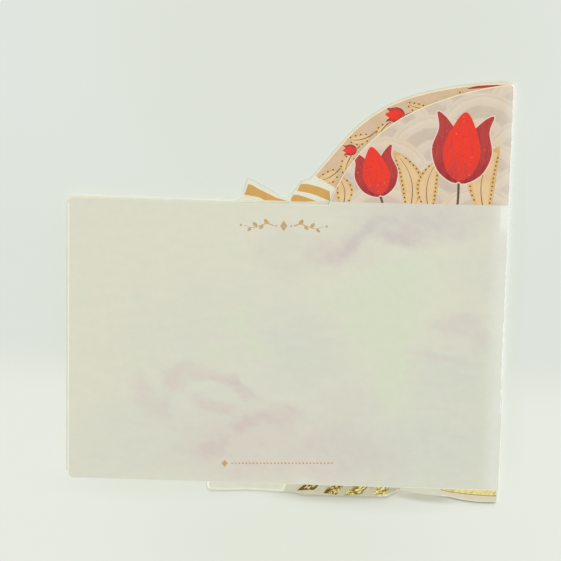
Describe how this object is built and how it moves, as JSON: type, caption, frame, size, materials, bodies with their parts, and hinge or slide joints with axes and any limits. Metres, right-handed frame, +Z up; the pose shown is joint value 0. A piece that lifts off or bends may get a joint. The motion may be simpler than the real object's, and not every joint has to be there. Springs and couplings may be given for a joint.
{
  "type": "greeting card",
  "caption": "Folded greeting card of die-cut board: a message panel with a low dome over a rear panel with a larger dome, bow loops and a foot.",
  "frame": {"origin": "centre of the bounding box, on the table that the rear panel lies on", "axes": "+X towards the fold, +Y towards the card's top edge, +Z up, out of the message panel"},
  "size_m": [0.1492, 0.1482, 0.0054],
  "materials": {
    "printed_board": "uncoated"
  },
  "bodies": {
    "root": {"folded_card": "printed_board"}
  },
  "joints": []
}
